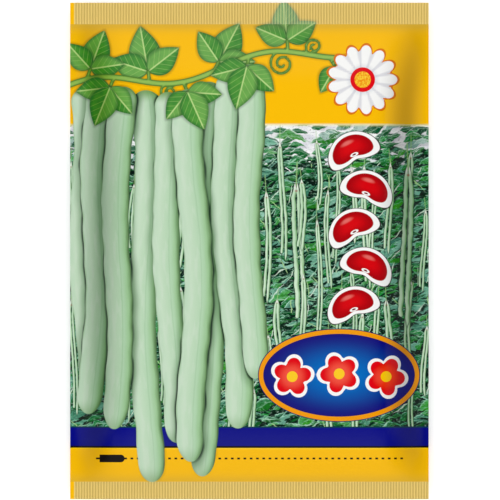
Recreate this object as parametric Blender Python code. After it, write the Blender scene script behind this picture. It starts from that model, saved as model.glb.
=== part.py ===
"""Seed packet: a flat pillow pouch of printed film, crimped shut at both ends, with seeds inside.

Metres, +Z up. The packet lies on its back with its printed front facing up, its top end towards +Y.
The origin is the middle of the surface that it lies on.
"""

import math
import random

import bpy
import mathutils

# Driving dimensions
PACK_WIDTH = 0.130
PACK_LENGTH = 0.180
TOP_SEAL = 0.0078
BOTTOM_SEAL = 0.0063
SEAL_LEVEL = 0.0045
FRONT_RISE = 0.0085
WALL = 0.0003
GAP = 0.0003

# The front swells from a flat margin beside each side crease
CREASE_MARGIN = 0.001
FRONT_SHOULDER = 0.017
FRONT_END_RISE = 0.024
SHOULDER_SHARE = 0.78

# The back sags until it lies flat
BACK_SHOULDER = 0.014
BACK_END_SAG = 0.018

# Crimp ribs across both end seals
RIB_PITCH = 0.00101
RIB_RISE = 0.0002
RIB_MARGIN = 0.0014

# Fin seam down the back, folded flat to one side
FIN_WIDTH = 0.009
FIN_THICKNESS = 2 * WALL
FIN_RAMP = 0.0016

# Seeds
SEED_COUNT = 48
SEED_LENGTH = 0.0088
SEED_WIDTH = 0.0054
SEED_DEPTH = 0.0042
SEED_BEND = 0.0007
SEED_SPACING = 0.0102
SEED_FIELD = (0.044, 0.054)
SEED_FIELD_CENTRE = (0.0, -0.006)
SEED_RINGS = 4
SEED_SIDES = 7
SEED_SIZE_SPREAD = 0.06
SEED_TILT = math.radians(7)

HALF_WIDTH = PACK_WIDTH / 2
HALF_LENGTH = PACK_LENGTH / 2
TOP_LINE = HALF_LENGTH - TOP_SEAL
BOTTOM_LINE = -HALF_LENGTH + BOTTOM_SEAL
FRONT_EDGE = SEAL_LEVEL + GAP / 2 + WALL
BACK_EDGE = SEAL_LEVEL - GAP / 2 - WALL
FIN_STEP = FIN_THICKNESS + GAP


def clear_scene():
    for obj in list(bpy.data.objects):
        bpy.data.objects.remove(obj, do_unlink=True)


def material(name, colour, roughness):
    made = bpy.data.materials.new(name)
    made.use_nodes = True
    shader = made.node_tree.nodes["Principled BSDF"]
    shader.inputs["Base Color"].default_value = (*colour, 1.0)
    shader.inputs["Roughness"].default_value = roughness
    shader.inputs["Metallic"].default_value = 0.0
    return made


def add_object(name, mesh, made_of):
    obj = bpy.data.objects.new(name, mesh)
    bpy.context.scene.collection.objects.link(obj)
    if not mesh.materials:
        mesh.materials.append(made_of)
    return obj


def smoothstep(start, end, value):
    """0 before start, 1 after end, and 3t^2 - 2t^3 between them."""
    t = min(max((value - start) / (end - start), 0.0), 1.0)
    return t * t * (3 - 2 * t)


def spread(start, end, count, crowd=0.0):
    """count + 1 values from start to end, closer together near both ends as crowd goes to 1."""
    values = []
    for i in range(count + 1):
        t = i / count
        eased = (1 - crowd) * t + crowd * (1 - math.cos(math.pi * t)) / 2
        values.append(start + (end - start) * eased)
    return values


def front_height(x, y):
    """A shoulder that starts flat at the crease and rises from both seals, under one slow crown."""
    side = HALF_WIDTH - abs(x)
    end = min(TOP_LINE - y, y - BOTTOM_LINE)
    closing = math.sin(math.pi / 2 * min(end / FRONT_END_RISE, 1.0))
    shoulder = smoothstep(CREASE_MARGIN, FRONT_SHOULDER, side) * closing
    along = (y - BOTTOM_LINE) / (TOP_LINE - BOTTOM_LINE)
    crown = math.sin(math.pi / 2 * side / HALF_WIDTH) * math.sin(math.pi * along)
    return FRONT_EDGE + FRONT_RISE * (SHOULDER_SHARE * shoulder + (1 - SHOULDER_SHARE) * crown)


def end_sag(y):
    """0 at both seals, and 1 where the back lies flat."""
    return smoothstep(0.0, BACK_END_SAG, min(TOP_LINE - y, y - BOTTOM_LINE))


def back_height(x, y):
    """The film sags from the crease and from both seals until it lies on the surface."""
    across = smoothstep(CREASE_MARGIN, BACK_SHOULDER, HALF_WIDTH - abs(x))
    return BACK_EDGE * (1 - across * end_sag(y))


def back_left_height(x, y):
    """Where the back lies flat, its left half steps up over the folded fin."""
    over_fin = smoothstep(-FIN_WIDTH - GAP - FIN_RAMP, -FIN_WIDTH - GAP, x)
    return back_height(x, y) + FIN_STEP * over_fin * end_sag(y)


def fin_height(x, y):
    """The fin lies level with the flat back, and hangs below the film towards both seals."""
    return back_height(x, y) - FIN_STEP * (1 - end_sag(y))


def surface(name, columns, rows, height, faces_up):
    """A mesh of quads over columns by rows, with its height given by a function of x and y."""
    points = [(x, y, height(x, y)) for y in rows for x in columns]
    wide = len(columns)
    quads = []
    for row in range(len(rows) - 1):
        for column in range(wide - 1):
            corner = row * wide + column
            quad = (corner, corner + 1, corner + wide + 1, corner + wide)
            quads.append(quad if faces_up else quad[::-1])
    mesh = bpy.data.meshes.new(name)
    mesh.from_pydata(points, [], quads)
    mesh.update()
    return mesh


def thickened(obj, thickness, offset):
    wall = obj.modifiers.new("wall", "SOLIDIFY")
    wall.thickness = thickness
    wall.offset = offset
    wall.use_rim = True
    return obj


def film_panel(name, columns, rows, height, faces_up, made_of):
    """One panel of film: its outer surface, thickened inwards."""
    mesh = surface(name, columns, rows, height, faces_up)
    mesh.shade_smooth()
    return thickened(add_object(name, mesh, made_of), WALL, -1)


def make_front(film):
    columns = spread(-HALF_WIDTH, HALF_WIDTH, 26, crowd=0.55)
    rows = spread(BOTTOM_LINE + GAP, TOP_LINE - GAP, 26, crowd=0.5)
    film_panel("front_panel", columns, rows, front_height, True, film)


def make_back(film):
    rows = spread(BOTTOM_LINE + GAP, TOP_LINE - GAP, 16, crowd=0.8)
    right = spread(GAP / 2, HALF_WIDTH - BACK_SHOULDER, 2)
    right += spread(HALF_WIDTH - BACK_SHOULDER, HALF_WIDTH, 7)[1:]
    film_panel("back_panel_right", right, rows, back_height, False, film)

    left = spread(-HALF_WIDTH, -HALF_WIDTH + BACK_SHOULDER, 7)
    left += [-FIN_WIDTH - GAP - FIN_RAMP]
    left += spread(-FIN_WIDTH - GAP, -GAP / 2, 2)
    film_panel("back_panel_left", left, rows, back_left_height, False, film)

    fin_columns = spread(-GAP / 2 - FIN_WIDTH, -GAP / 2, 2)
    fin = add_object("back_seam", surface("back_seam", fin_columns, rows, fin_height, False), film)
    thickened(fin, FIN_THICKNESS, -1)


def rib_columns():
    """A flat margin at each side, and between them one point on every crest and in every valley."""
    half_pitch = RIB_PITCH / 2
    start = -HALF_WIDTH + RIB_MARGIN
    steps = int((HALF_WIDTH - half_pitch - start) / half_pitch)
    ribbed = [start + i * half_pitch for i in range(steps + 1)]
    return [-HALF_WIDTH] + ribbed + [HALF_WIDTH]


def make_seal(name, low, high, film):
    """Both layers of film pressed into one band, its front ridges lying over its back valleys."""
    columns = rib_columns()
    last = len(columns) - 1
    crest = {}
    for i, x in enumerate(columns):
        flat = i in (0, 1, last - 1, last)
        crest[x] = 0.0 if flat else RIB_RISE * (1 if i % 2 else -1)
    mesh = surface(name, columns, [low, high], lambda x, y: SEAL_LEVEL + crest[x], True)
    thickness = 2 * (FRONT_EDGE - SEAL_LEVEL - RIB_RISE)
    thickened(add_object(name, mesh, film), thickness, 0)


def seed_mesh():
    """A bean seed: an egg-shaped section carried along a shallow bow, with the eye on the inner side."""
    points = [(-SEED_LENGTH / 2, -SEED_BEND, 0.0)]
    for ring in range(SEED_RINGS):
        angle = math.pi * (ring + 1) / (SEED_RINGS + 1)
        along = -math.cos(angle)
        girth = math.sin(angle) ** 0.8
        bow = SEED_BEND * (1 - 2 * along * along)
        for side in range(SEED_SIDES):
            turn = 2 * math.pi * side / SEED_SIDES
            across = SEED_WIDTH / 2 * girth * math.cos(turn)
            up = SEED_DEPTH / 2 * girth * math.sin(turn)
            points.append((along * SEED_LENGTH / 2, across + bow, up))
    points.append((SEED_LENGTH / 2, -SEED_BEND, 0.0))

    faces = []
    tip = len(points) - 1
    for side in range(SEED_SIDES):
        beside = (side + 1) % SEED_SIDES
        faces.append((0, 1 + beside, 1 + side))
        for ring in range(SEED_RINGS - 1):
            here = 1 + ring * SEED_SIDES
            ahead = here + SEED_SIDES
            faces.append((here + side, here + beside, ahead + beside, ahead + side))
        last = 1 + (SEED_RINGS - 1) * SEED_SIDES
        faces.append((last + side, last + beside, tip))
    mesh = bpy.data.meshes.new("seed")
    mesh.from_pydata(points, [], faces)
    mesh.shade_smooth()
    return mesh


def seed_places(chance):
    """Spots in an oval on the back film, each at least SEED_SPACING from the others."""
    places = []
    while len(places) < SEED_COUNT:
        turn = chance.uniform(0, 2 * math.pi)
        out = math.sqrt(chance.random())
        x = SEED_FIELD_CENTRE[0] + SEED_FIELD[0] * out * math.cos(turn)
        y = SEED_FIELD_CENTRE[1] + SEED_FIELD[1] * out * math.sin(turn)
        if all(math.hypot(x - a, y - b) >= SEED_SPACING for a, b in places):
            places.append((x, y))
    return sorted(places, key=lambda place: -place[1])


def make_seeds(coat):
    """Loose seeds in one layer, each resting just clear of the back film's inner face."""
    chance = random.Random(5)
    mesh = seed_mesh()
    for number, (x, y) in enumerate(seed_places(chance), start=1):
        seed = add_object(f"seed_{number:02d}", mesh, coat)
        size = 1 + chance.uniform(-SEED_SIZE_SPREAD, SEED_SIZE_SPREAD)
        turn = chance.uniform(0, 2 * math.pi)
        tilt = chance.uniform(-SEED_TILT, SEED_TILT)
        rotation = mathutils.Euler((tilt, tilt / 2, turn))
        turned = [rotation.to_matrix() @ (vertex.co * size) for vertex in mesh.vertices]
        lies_on = max(floor_under(x + point.x) - point.z for point in turned)
        seed.scale = (size, size, size)
        seed.rotation_euler = rotation
        seed.location = (x, y, lies_on)


def floor_under(x):
    """The height at which a seed's point may lie over the back film at this x, in the flat middle."""
    over_fin = -FIN_WIDTH - GAP - FIN_RAMP < x < GAP
    return WALL + GAP + (FIN_STEP if over_fin else 0.0)


def build():
    clear_scene()
    printed_film = material("printed film", (0.98, 0.53, 0.012), 0.4)
    back_film = material("back film", (0.95, 0.56, 0.06), 0.42)
    crimped_film = material("crimped film", (0.78, 0.58, 0.16), 0.45)
    seed_coat = material("seed coat", (0.05, 0.03, 0.025), 0.35)
    make_front(printed_film)
    make_back(back_film)
    make_seal("top_seal", TOP_LINE, HALF_LENGTH, crimped_film)
    make_seal("bottom_seal", -HALF_LENGTH, BOTTOM_LINE, crimped_film)
    make_seeds(seed_coat)


build()
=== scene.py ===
# %% [markdown]
# # A seed packet
#
# A seed packet of this kind is one sheet of printed plastic film. A machine wraps it into a tube, welds
# its two long edges together down the back, drops the seeds in and crimps the tube shut at both ends.
# This lesson builds it in that order: the film's form, the print, the crimped seals, the back and the
# seeds. Lengths are in millimetres until a mesh is made, because a packet's details are that small.

# %% Load the frame
import math

import bpy
import numpy as np
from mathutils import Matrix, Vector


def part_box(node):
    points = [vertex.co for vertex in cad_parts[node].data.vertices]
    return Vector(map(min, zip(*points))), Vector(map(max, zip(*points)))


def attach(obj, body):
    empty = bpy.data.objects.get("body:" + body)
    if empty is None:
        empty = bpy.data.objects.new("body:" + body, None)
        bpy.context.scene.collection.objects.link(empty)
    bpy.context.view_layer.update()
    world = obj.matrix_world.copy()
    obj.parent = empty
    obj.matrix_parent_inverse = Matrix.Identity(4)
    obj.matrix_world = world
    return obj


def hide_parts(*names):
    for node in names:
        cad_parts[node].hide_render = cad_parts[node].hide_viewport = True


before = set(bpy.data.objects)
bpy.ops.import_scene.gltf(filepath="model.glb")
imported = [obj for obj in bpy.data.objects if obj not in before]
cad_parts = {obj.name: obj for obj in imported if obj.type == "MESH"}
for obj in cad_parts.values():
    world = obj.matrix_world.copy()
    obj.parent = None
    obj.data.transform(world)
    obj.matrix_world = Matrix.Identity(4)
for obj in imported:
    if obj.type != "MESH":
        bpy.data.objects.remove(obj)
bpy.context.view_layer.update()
MM = 0.001


def node_box(name):
    """A CAD node's lowest and highest corners, in millimetres."""
    low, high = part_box(name)
    return np.array(low) / MM, np.array(high) / MM


_, front_high = node_box("front_panel")
top_low, top_high = node_box("top_seal")
_, bottom_high = node_box("bottom_seal")
fin_low, fin_high = node_box("back_seam")

HALF_WIDTH = top_high[0]
HALF_LENGTH = top_high[1]
TOP_LINE = top_low[1]
BOTTOM_LINE = bottom_high[1]
SEAL_LEVEL = (top_low[2] + top_high[2]) / 2
CROWN_LEVEL = front_high[2]
FIN_WIDTH = fin_high[0] - fin_low[0]
print(f"packet {2 * HALF_WIDTH:.0f} by {2 * HALF_LENGTH:.0f} mm, crown at {CROWN_LEVEL:.1f} mm")

# %% [markdown]
# ## The form of the film
#
# A pillow bag could be blown up with a cloth simulation, but the film of a real one hardly stretches, so
# its folds stay straight and its shape is simple: flat along each side fold, steep over a shoulder, and
# then one slow crown. A height worked out from x and y gives that shape exactly, and small dents and
# puckers can be added to it where the film is gathered by the seals.

# %% Smooth steps and bumps
FILM = 0.12
SHOULDER_START = 1.0
SHOULDER_END = 17.0
END_RISE = 24.0
SHOULDER_SHARE = 0.78
PUCKER_ROOM = 0.35
RIPPLE = 0.12
BACK_SHOULDER = 14.0
BACK_SAG = 18.0


def smoothstep(start, end, value):
    """0 at start, 1 at end, and 3t^2 - 2t^3 between them."""
    t = np.clip((value - start) / (end - start), 0.0, 1.0)
    return t * t * (3 - 2 * t)


def bell(value, centre, width):
    """A bump of height 1 at centre: exp(-((value - centre) / width)^2)."""
    return np.exp(-(((value - centre) / width) ** 2))


def from_side(x):
    """How far a point is from the nearer side fold."""
    return HALF_WIDTH - np.abs(x)


def from_seal(y):
    """How far a point is from the nearer seal."""
    return np.minimum(TOP_LINE - y, y - BOTTOM_LINE)


# %% Where the film puckers
PUCKER_COUNT = 13
PUCKER_DEPTH = 0.20
PUCKER_REACH = 9.0
DENT_COUNT = 7
DENT_DEPTH = 0.16
CORNER_FOLD = 0.45


def puckers(x, distance, chance):
    """Ridges that start at a seal and fan out: bells across x that widen and fade with the distance."""
    height = np.zeros_like(x)
    for place in np.linspace(-0.9, 0.9, PUCKER_COUNT):
        centre = HALF_WIDTH * (place + chance.uniform(-0.05, 0.05))
        lean = 0.25 * place + chance.uniform(-0.12, 0.12)
        width = chance.uniform(1.6, 3.4)
        size = PUCKER_DEPTH * chance.uniform(-1.0, 1.0)
        height += size * bell(x, centre - lean * distance, width * (1 + distance / 9))
    return height * np.exp(-distance / PUCKER_REACH) * (1 - np.exp(-distance / 2.0))


def side_dents(side, y, chance):
    """Shallow dents along a fold: bells in y, deepest a few millimetres in from the fold."""
    height = np.zeros_like(y)
    for place in np.linspace(-0.82, 0.82, DENT_COUNT):
        centre = HALF_LENGTH * (place + chance.uniform(-0.07, 0.07))
        size = DENT_DEPTH * chance.uniform(-1.0, 0.6)
        height += size * bell(y, centre + 0.5 * side, chance.uniform(2.5, 6.0))
    return height * (side / 6) * np.exp(1 - side / 6)


def corner_folds(x, y):
    """A soft fold from each corner inwards: a bell across the diagonal that fades with the reach."""
    side, end = from_side(x), from_seal(y)
    reach = np.hypot(side, end)
    across = (side - end) / math.sqrt(2)
    fading = (1 - np.exp(-reach / 5)) * np.exp(-reach / 13)
    return -CORNER_FOLD * bell(across, 0, 2.2 + 0.12 * reach) * fading


# %% Front and back heights
def seal_wave(x):
    """The end seals aren't quite flat: two slow waves across the packet."""
    return 0.22 * np.sin(x / 17.0 + 0.7) + 0.12 * np.sin(x / 7.3 + 2.1)


def level(x, y):
    """The height at which front and back meet, with the seals' slow wave fading out from them."""
    side = smoothstep(0.0, 12.0, from_side(x))
    return SEAL_LEVEL + seal_wave(x) * side * np.exp(-np.maximum(from_seal(y), 0.0) / 10.0)


def front_height(x, y):
    """Level plus film, a shoulder beside each fold and seal, one slow crown, and the puckers."""
    chance = np.random.default_rng(11)
    side, end = from_side(x), np.maximum(from_seal(y), 0.0)
    closing = np.sin(math.pi / 2 * np.minimum(end / END_RISE, 1.0))
    shoulder = smoothstep(SHOULDER_START, SHOULDER_END, side) * closing
    along = np.clip((y - BOTTOM_LINE) / (TOP_LINE - BOTTOM_LINE), 0, 1)
    crown = np.sin(math.pi / 2 * side / HALF_WIDTH) * np.sin(math.pi * along)
    rise = CROWN_LEVEL - SEAL_LEVEL - FILM - PUCKER_ROOM
    swell = rise * (SHOULDER_SHARE * shoulder + (1 - SHOULDER_SHARE) * crown)
    detail = puckers(x, np.maximum(TOP_LINE - y, 0), chance)
    detail += puckers(x, np.maximum(y - BOTTOM_LINE, 0), chance)
    detail += np.where(x < 0, side_dents(side, y, chance), side_dents(side, -y, chance))
    detail += corner_folds(x, y) + RIPPLE * np.sin(x / 19 + 1.0) * np.sin(y / 23 + 0.4)
    return level(x, y) + FILM + swell + detail * smoothstep(0.5, 6.0, side) * smoothstep(0, 3, end)


def back_sag(y):
    """0 at both seals and 1 where the back lies flat."""
    return smoothstep(0.0, BACK_SAG, from_seal(y))


def back_height(x, y):
    """The outer face of the back film, which sags from the folds and seals until it lies at height 0."""
    across = smoothstep(SHOULDER_START, BACK_SHOULDER, from_side(x))
    return (level(x, y) - FILM) * (1 - across * back_sag(y))


# %% [markdown]
# ## Making a film mesh
#
# Film is thin, but it has two faces and an edge, and a mesh with one face alone would show nothing from
# behind. The surface is a grid of points, a second grid lies one film thickness inside it, and four rims
# join them, so each piece is closed.

# %% Closed film from a grid
SHARP_ANGLE = 60


def grid(columns, rows):
    """x and y of every point, as two arrays of rows by columns."""
    return np.meshgrid(np.asarray(columns, float), np.asarray(rows, float))


def grid_faces(index):
    """One quad for each cell of an index grid, facing up."""
    cells = (index[:-1, :-1], index[:-1, 1:], index[1:, 1:], index[1:, :-1])
    return np.stack(cells, axis=-1).reshape(-1, 4)


def rim_faces(index, other):
    """Quads between the borders of two index grids, facing out."""
    border = np.concatenate([index[0, :-1], index[:-1, -1], index[-1, :0:-1], index[:0:-1, 0]])
    under = np.concatenate([other[0, :-1], other[:-1, -1], other[-1, :0:-1], other[:0:-1, 0]])
    return np.stack([under, np.roll(under, -1), np.roll(border, -1), border], axis=-1)


def in_scene(name, data):
    """An object of a mesh, a camera or a light, linked to the scene."""
    made = bpy.data.objects.new(name, data)
    bpy.context.scene.collection.objects.link(made)
    return made


def mesh_object(name, points, faces, smooth=True):
    """An object at the origin whose mesh holds the points, given in millimetres."""
    mesh = bpy.data.meshes.new(name)
    mesh.from_pydata((points * MM).tolist(), [], faces.tolist())
    mesh.update()
    if smooth:
        mesh.shade_smooth()
        mesh.set_sharp_from_angle(angle=math.radians(SHARP_ANGLE))
    return in_scene(name, mesh)


def closed_film(name, x, y, upper, lower):
    """A closed sheet between an upper and a lower height, each an array like x and y."""
    count = x.size
    top = np.arange(count).reshape(x.shape)
    under = top + count
    points = np.concatenate([
        np.stack([x, y, upper], axis=-1).reshape(-1, 3),
        np.stack([x, y, lower], axis=-1).reshape(-1, 3),
    ])
    faces = np.concatenate([grid_faces(top), grid_faces(under)[:, ::-1], rim_faces(top, under)])
    return mesh_object(name, points, faces)


CELL = 0.75
front_x, front_y = grid(
    np.linspace(-HALF_WIDTH, HALF_WIDTH, round(2 * HALF_WIDTH / CELL) + 1),
    np.linspace(BOTTOM_LINE, TOP_LINE, round((TOP_LINE - BOTTOM_LINE) / CELL) + 1),
)
front_z = front_height(front_x, front_y)
front_film = closed_film("front_film", front_x, front_y, front_z, front_z - FILM)
print(f"front film: {front_x.size} points a side, {front_z.min():.2f} to {front_z.max():.2f} mm high")

# %% [markdown]
# ## The crimped seals
#
# Heated jaws with fine teeth press both layers of film together, so each end is a band of ribs, a ridge
# on the front lying over a valley on the back. The ribs are real geometry: eight points to a rib are
# enough for them to catch the light as rounded ridges do.

# %% Ribbed bands
RIB_PITCH = 1.01
RIB_DEPTH = 0.13
RIB_POINTS = 8
RIB_MARGIN = 1.4
SEAL_ROWS = 12


def ribs(x, y):
    """Rounded ribs: a sine across x, flattened at its crests, none in the plain margin or at the film."""
    wave = np.sin(2 * math.pi * (x + HALF_WIDTH - RIB_MARGIN) / RIB_PITCH)
    pressed = smoothstep(0.0, 0.5, x + HALF_WIDTH - RIB_MARGIN) * smoothstep(0.0, 0.4, HALF_WIDTH - x)
    pressed = pressed * smoothstep(0.0, 0.5, -from_seal(y))
    return RIB_DEPTH * np.tanh(1.4 * wave) / math.tanh(1.4) * pressed


def seal_band(name, low, high):
    """Both films as one ribbed sheet, from the end of the packet to the line where they part."""
    columns = np.linspace(-HALF_WIDTH, HALF_WIDTH, round(2 * HALF_WIDTH / RIB_PITCH * RIB_POINTS) + 1)
    rows = low + (high - low) * (1 - np.cos(np.linspace(0, math.pi, SEAL_ROWS + 1))) / 2
    x, y = grid(columns, rows)
    middle = level(x, y) + ribs(x, y)
    return closed_film(name, x, y, middle + FILM, middle - FILM), x, y


top_band, top_x, top_y = seal_band("top_seal_band", TOP_LINE, HALF_LENGTH)
bottom_band, bottom_x, bottom_y = seal_band("bottom_seal_band", -HALF_LENGTH, BOTTOM_LINE)
print(f"seal bands: {HALF_LENGTH - TOP_LINE:.1f} and {BOTTOM_LINE + HALF_LENGTH:.1f} mm high")

# %% [markdown]
# ## The back and its fin
#
# The sheet's two long edges are welded face to face down the middle of the back. That makes a fin, which
# the machine folds flat to one side and then crimps into both end seals. Where the fin lies under the
# back film, the film steps up over it by a little more than two films.

# %% Back panels and fin
FIN_STEP = 0.30
FIN_RAMP = 1.6
SEAM_GAP = 0.05


def over_fin(x):
    """0 beside the folded fin, and 1 over it."""
    return smoothstep(-FIN_WIDTH - FIN_RAMP, -FIN_WIDTH, x) * (x < 0)


def back_film(name, start, end):
    """A panel of the back film between two places across the packet."""
    columns = np.linspace(start, end, round((end - start) / CELL) + 1)
    rows = np.linspace(BOTTOM_LINE, TOP_LINE, round((TOP_LINE - BOTTOM_LINE) / CELL) + 1)
    x, y = grid(columns, rows)
    outside = back_height(x, y) + FIN_STEP * over_fin(x) * back_sag(y)
    return closed_film(name, x, y, outside + 0.9 * FILM, outside)


back_left = back_film("back_film_left", -HALF_WIDTH, -SEAM_GAP)
back_right = back_film("back_film_right", SEAM_GAP, HALF_WIDTH)
fin_x, fin_y = grid(
    np.linspace(-SEAM_GAP - FIN_WIDTH, -SEAM_GAP, round(FIN_WIDTH / RIB_PITCH * RIB_POINTS) + 1),
    np.linspace(-HALF_LENGTH, HALF_LENGTH, round(2 * HALF_LENGTH / CELL) + 1),
)
fin_outside = back_height(fin_x, fin_y) + ribs(fin_x, fin_y) - FIN_STEP * (1 - back_sag(fin_y))
fin_strip = closed_film("fin_strip", fin_x, fin_y, fin_outside + 2 * FILM, fin_outside)
print(f"fin: {FIN_WIDTH:.1f} mm wide, folded flat, {FIN_STEP:.2f} mm under the film")

# %% [markdown]
# ## The seeds
#
# Bean seeds are short rods with round ends and a slight bow, and their scar, the eye, is on the inner
# side of the bow. The CAD seeds have few faces, so each is measured and a smooth one takes its place:
# the three directions in which its points spread most, less and least give its length, width and depth.

# %% How a CAD seed lies
def seed_axes(points):
    """Rows of a turning matrix (length, width, depth) and the half sizes, from how the points spread.
    The width axis points to the outer side of the bow, which the ends curve away from."""
    middle = (points.min(0) + points.max(0)) / 2
    spread, axes = np.linalg.eigh(np.cov((points - points.mean(0)).T))
    axes = axes[:, np.argsort(-spread)].T
    local = (points - middle) @ axes.T
    if np.cov(local[:, 1], local[:, 0] ** 2)[0, 1] > 0:
        axes[1] *= -1
    axes[2] = np.cross(axes[0], axes[1])
    local = (points - middle) @ axes.T
    low, high = local.min(0), local.max(0)
    return axes, middle + (low + high) / 2 @ axes, (high - low) / 2


# %% A smooth seed's surface
SEED_RINGS = 20
SEED_SIDES = 20


def seed_surface(half):
    """Along = -cos(u) and girth = sin(u)^0.8, bowed by b * (1 - 2 * along^2), with v round the seed.
    Returns the points and, for each, its distance from the eye."""
    around = np.arange(SEED_SIDES) / SEED_SIDES * 2 * math.pi
    u, v = grid(np.linspace(0, math.pi, SEED_RINGS + 1)[1:-1], around)
    along, girth = -np.cos(u), np.sin(u) ** 0.8
    bow = 0.16 * half[1]
    across = (half[1] - bow) * girth * np.cos(v) + bow * (1 - 2 * along**2)
    body = np.stack([half[0] * along, across, half[2] * girth * np.sin(v)], axis=-1)
    tips = np.array([(-half[0], -bow, 0.0), (half[0], -bow, 0.0)])
    points = np.concatenate([body.reshape(-1, 3), tips])
    eye = np.array([0.0, -half[1] + 2 * bow, 0.0])
    reach = np.linalg.norm((points - eye) / (0.3 * half[0], half[1], 0.22 * half[2]), axis=1)
    return points, reach


def seed_faces():
    """Quads round the body and triangles at both tips."""
    rings = SEED_RINGS - 1
    index = np.arange(SEED_SIDES * rings).reshape(SEED_SIDES, rings)
    beside = np.roll(index, -1, axis=0)
    quads = np.stack([index[:, :-1], beside[:, :-1], beside[:, 1:], index[:, 1:]], axis=-1).reshape(-1, 4)
    first, last = index.size, index.size + 1
    head = np.stack([np.full(SEED_SIDES, first), beside[:, 0], index[:, 0]], axis=-1)
    tail = np.stack([index[:, -1], beside[:, -1], np.full(SEED_SIDES, last)], axis=-1)
    return quads[:, ::-1].tolist() + head[:, ::-1].tolist() + tail[:, ::-1].tolist()


# %% Put the smooth seeds in place
def smooth_seed(node):
    """A smooth seed in the place of a CAD seed."""
    coordinates = np.array([vertex.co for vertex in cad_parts[node].data.vertices], float) / MM
    axes, middle, half = seed_axes(coordinates)
    points, reach = seed_surface(half)
    mesh = bpy.data.meshes.new(node)
    mesh.from_pydata(((points @ axes + middle) * MM).tolist(), [], seed_faces())
    mesh.shade_smooth()
    mesh.attributes.new("eye", "FLOAT", "POINT").data.foreach_set("value", reach.astype(np.float32))
    return in_scene(f"smooth_{node}", mesh)


seed_nodes = sorted(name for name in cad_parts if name.startswith("seed_"))
seeds = {node: smooth_seed(node) for node in seed_nodes}
print(f"seeds: {len(seeds)}, {len(seeds['seed_01'].data.polygons)} faces each")

# %% [markdown]
# ## The print, as distances
#
# The front is printed like a photograph, with crisp edges. A picture could be painted on, but then it
# would blur close up. Instead every motif is a formula that gives, at each point of the film, how far
# that point is from the motif's edge, less than 0 inside it. The numbers are stored on the mesh, and the
# finish cuts them at 0, so an edge stays sharp between the points of the grid. Two more numbers say
# where in the motif the point lies, and from these the finish works out its shading.

# %% Layers of motifs
FAR = 9.0


def one_layer(x, motifs):
    """Edge distance, place across and place along, of whichever motif has its edge nearest."""
    layer = [np.full(x.shape, FAR), np.zeros(x.shape), np.zeros(x.shape)]
    for motif in motifs:
        closer = motif[0] < layer[0]
        layer = [np.where(closer, new, old) for new, old in zip(motif, layer)]
    return layer


def turned(x, y, centre, angle):
    """Places along and across a motif, from its centre, that is turned by an angle in degrees."""
    cosine, sine = math.cos(math.radians(angle)), math.sin(math.radians(angle))
    right, above = x - centre[0], y - centre[1]
    return right * cosine + above * sine, above * cosine - right * sine


# %% A pod, a leaf and a line
def pod(x, y, top, length, width, lean, sway, phase, neck=6.0):
    """A hanging bean pod. Its middle line is top + lean * t + a sine of t, with t from 0 at the top to 1
    at the tip. It tapers slightly, and swells slightly over each seed and in one slower wave.
    Both ends are half ellipses: the edge lies where across^2 + beyond^2 = 1, with across in half widths
    from the middle line and beyond from 0 to 1 over the last few millimetres."""
    depth = top[1] - y
    t = np.clip(depth / length, 0, 1)
    middle = top[0] + lean * t + sway * (np.sin(phase + 2.4 * math.pi * t) - math.sin(phase))
    swelling = 1 + 0.03 * np.sin(2 * math.pi * depth / 12.5) + 0.03 * np.sin(depth / 5.3 + 3 * phase)
    half = width / 2 * swelling * (1.04 - 0.12 * t)
    across = (x - middle) / half
    beyond = np.maximum(0, np.maximum(1 - depth / neck, 1 - (length - depth) / (0.8 * width)))
    edge = half * (np.hypot(across, beyond) - 1)
    rounded = np.sqrt(np.maximum(1 - beyond**2, 0.16))
    return edge, across / rounded, depth / length


def leaf(x, y, base, angle, length, width):
    """A leaf from its base. Its width goes as sin(pi * t^0.75)^0.9, with t from 0 at the base to 1 at
    the tip."""
    along, across = turned(x, y, base, angle)
    along = along / length
    half = width / 2 * np.sin(math.pi * np.clip(along, 0, 1) ** 0.75) ** 0.9
    beyond = np.maximum(0, np.abs(along - 0.5) - 0.5) * length
    edge = np.where(beyond > 0, np.hypot(across, beyond), 0.85 * (np.abs(across) - half))
    return edge, across, along


def stroke(x, y, path, width):
    """Distance to the nearest stretch of a path of points, less half the line's width."""
    nearest = np.full(x.shape, FAR)
    for (ax, ay), (bx, by) in zip(path[:-1], path[1:]):
        run = (bx - ax) ** 2 + (by - ay) ** 2
        t = np.clip(((x - ax) * (bx - ax) + (y - ay) * (by - ay)) / run, 0, 1)
        nearest = np.minimum(nearest, np.hypot(x - ax - t * (bx - ax), y - ay - t * (by - ay)))
    return nearest - width / 2


# %% The vine across the header
VINE_START = (-66.0, 58.0)
VINE_END = (34.0, 73.0)


def vine_point(t):
    """The vine's line: straight from start to end plus a slow wave."""
    x = VINE_START[0] + (VINE_END[0] - VINE_START[0]) * t
    y = VINE_START[1] + (VINE_END[1] - VINE_START[1]) * t
    return x, y + 3.2 * np.sin(2 * math.pi * (1.6 * t + 0.1))


SPRIGS_BEHIND = ((0.07, 70, 15), (0.30, 100, 17), (0.53, 62, 16), (0.80, 95, 15))
SPRIGS_BEFORE = ((0.17, -112, 15), (0.42, -66, 15), (0.66, -104, 16), (0.95, -58, 13))
STALK = 4.0
TENDRILS = ((0.77, 4.6, 1.6, -1.4), (0.90, 3.4, -1.5, 1.75), (0.36, 3.2, 1.4, -1.3))


def stalk_end(t, angle):
    """Where a sprig's stalk ends that leaves the vine at t."""
    x, y = vine_point(t)
    return x + STALK * math.cos(math.radians(angle)), y + STALK * math.sin(math.radians(angle))


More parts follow.
